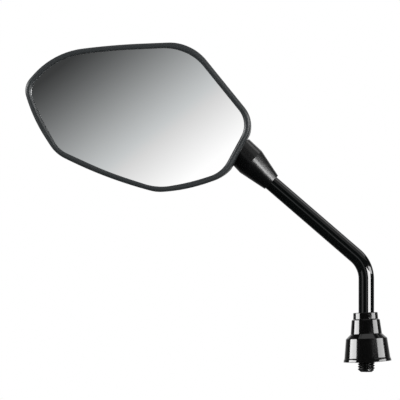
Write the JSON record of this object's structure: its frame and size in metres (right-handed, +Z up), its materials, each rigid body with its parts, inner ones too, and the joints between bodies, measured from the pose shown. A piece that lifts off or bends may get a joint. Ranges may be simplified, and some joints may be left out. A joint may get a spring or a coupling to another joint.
{
  "type": "motorcycle mirror",
  "caption": "Handlebar mirror with a rounded convex head on a spring-clamped ball pivot, a bent rod stem with a metric mounting thread, and a sliding rubber boot over its lock nut.",
  "frame": {"origin": "on the mounting thread's axis, at the face where the lock nut seats on the lever perch", "axes": "+Z up along the mounting thread and the lower stem, the glass faces -Y, the head reaches to -X and +Z"},
  "size_m": [0.2194, 0.0408, 0.1972],
  "materials": {
    "stem_paint": "gloss black",
    "pivot_steel": "ground",
    "neck_boot_plastic": "satin charcoal",
    "nut_steel": "blackened",
    "base_rubber": "glossy black",
    "liner_nylon": "natural nylon",
    "bracket_alloy": "die cast",
    "screw_steel": "zinc plated",
    "spring_steel": "drawn wire",
    "shell_plastic": "satin charcoal",
    "carrier_plastic": "moulded black",
    "foam": "closed cell foam",
    "mirror": "silvered glass",
    "bezel_plastic": "satin charcoal"
  },
  "bodies": {
    "stem": {"stem_rod": "stem_paint", "pivot_ball": "pivot_steel", "neck_boot": "neck_boot_plastic", "lock_nut": "nut_steel"},
    "boot": {"base_boot": "base_rubber"},
    "inner_liner": {"front_liner": "liner_nylon"},
    "outer_liner": {"rear_liner": "liner_nylon"},
    "head": {"pivot_bracket": "bracket_alloy", "bracket_screws": "screw_steel", "clamp_cap": "bracket_alloy", "clamp_springs": "spring_steel", "clamp_washers": "screw_steel", "clamp_screws": "screw_steel", "rear_shell": "shell_plastic", "glass_carrier": "carrier_plastic", "carrier_screws": "screw_steel", "foam_pad": "foam", "mirror_glass": "mirror", "bezel": "bezel_plastic"}
  },
  "joints": [
    {"name": "boot_slide", "type": "slide", "parent": "stem", "child": "boot", "axis": [0, 0, 1], "range_m": [0, 0.019]},
    {"name": "head_swivel", "type": "hinge", "parent": "stem", "child": "inner_liner", "pos_m": [-0.08324, 0, 0.12493], "axis": [0.7071, 0, -0.7071], "range_deg": [-40, 40]},
    {"name": "head_tilt", "type": "hinge", "parent": "inner_liner", "child": "outer_liner", "pos_m": [-0.08324, 0, 0.12493], "axis": [0.7071, 0, 0.7071], "range_deg": [-10, 10]},
    {"name": "head_roll", "type": "hinge", "parent": "outer_liner", "child": "head", "pos_m": [-0.08324, 0, 0.12493], "axis": [0, 1, 0], "range_deg": [-10, 10]}
  ]
}
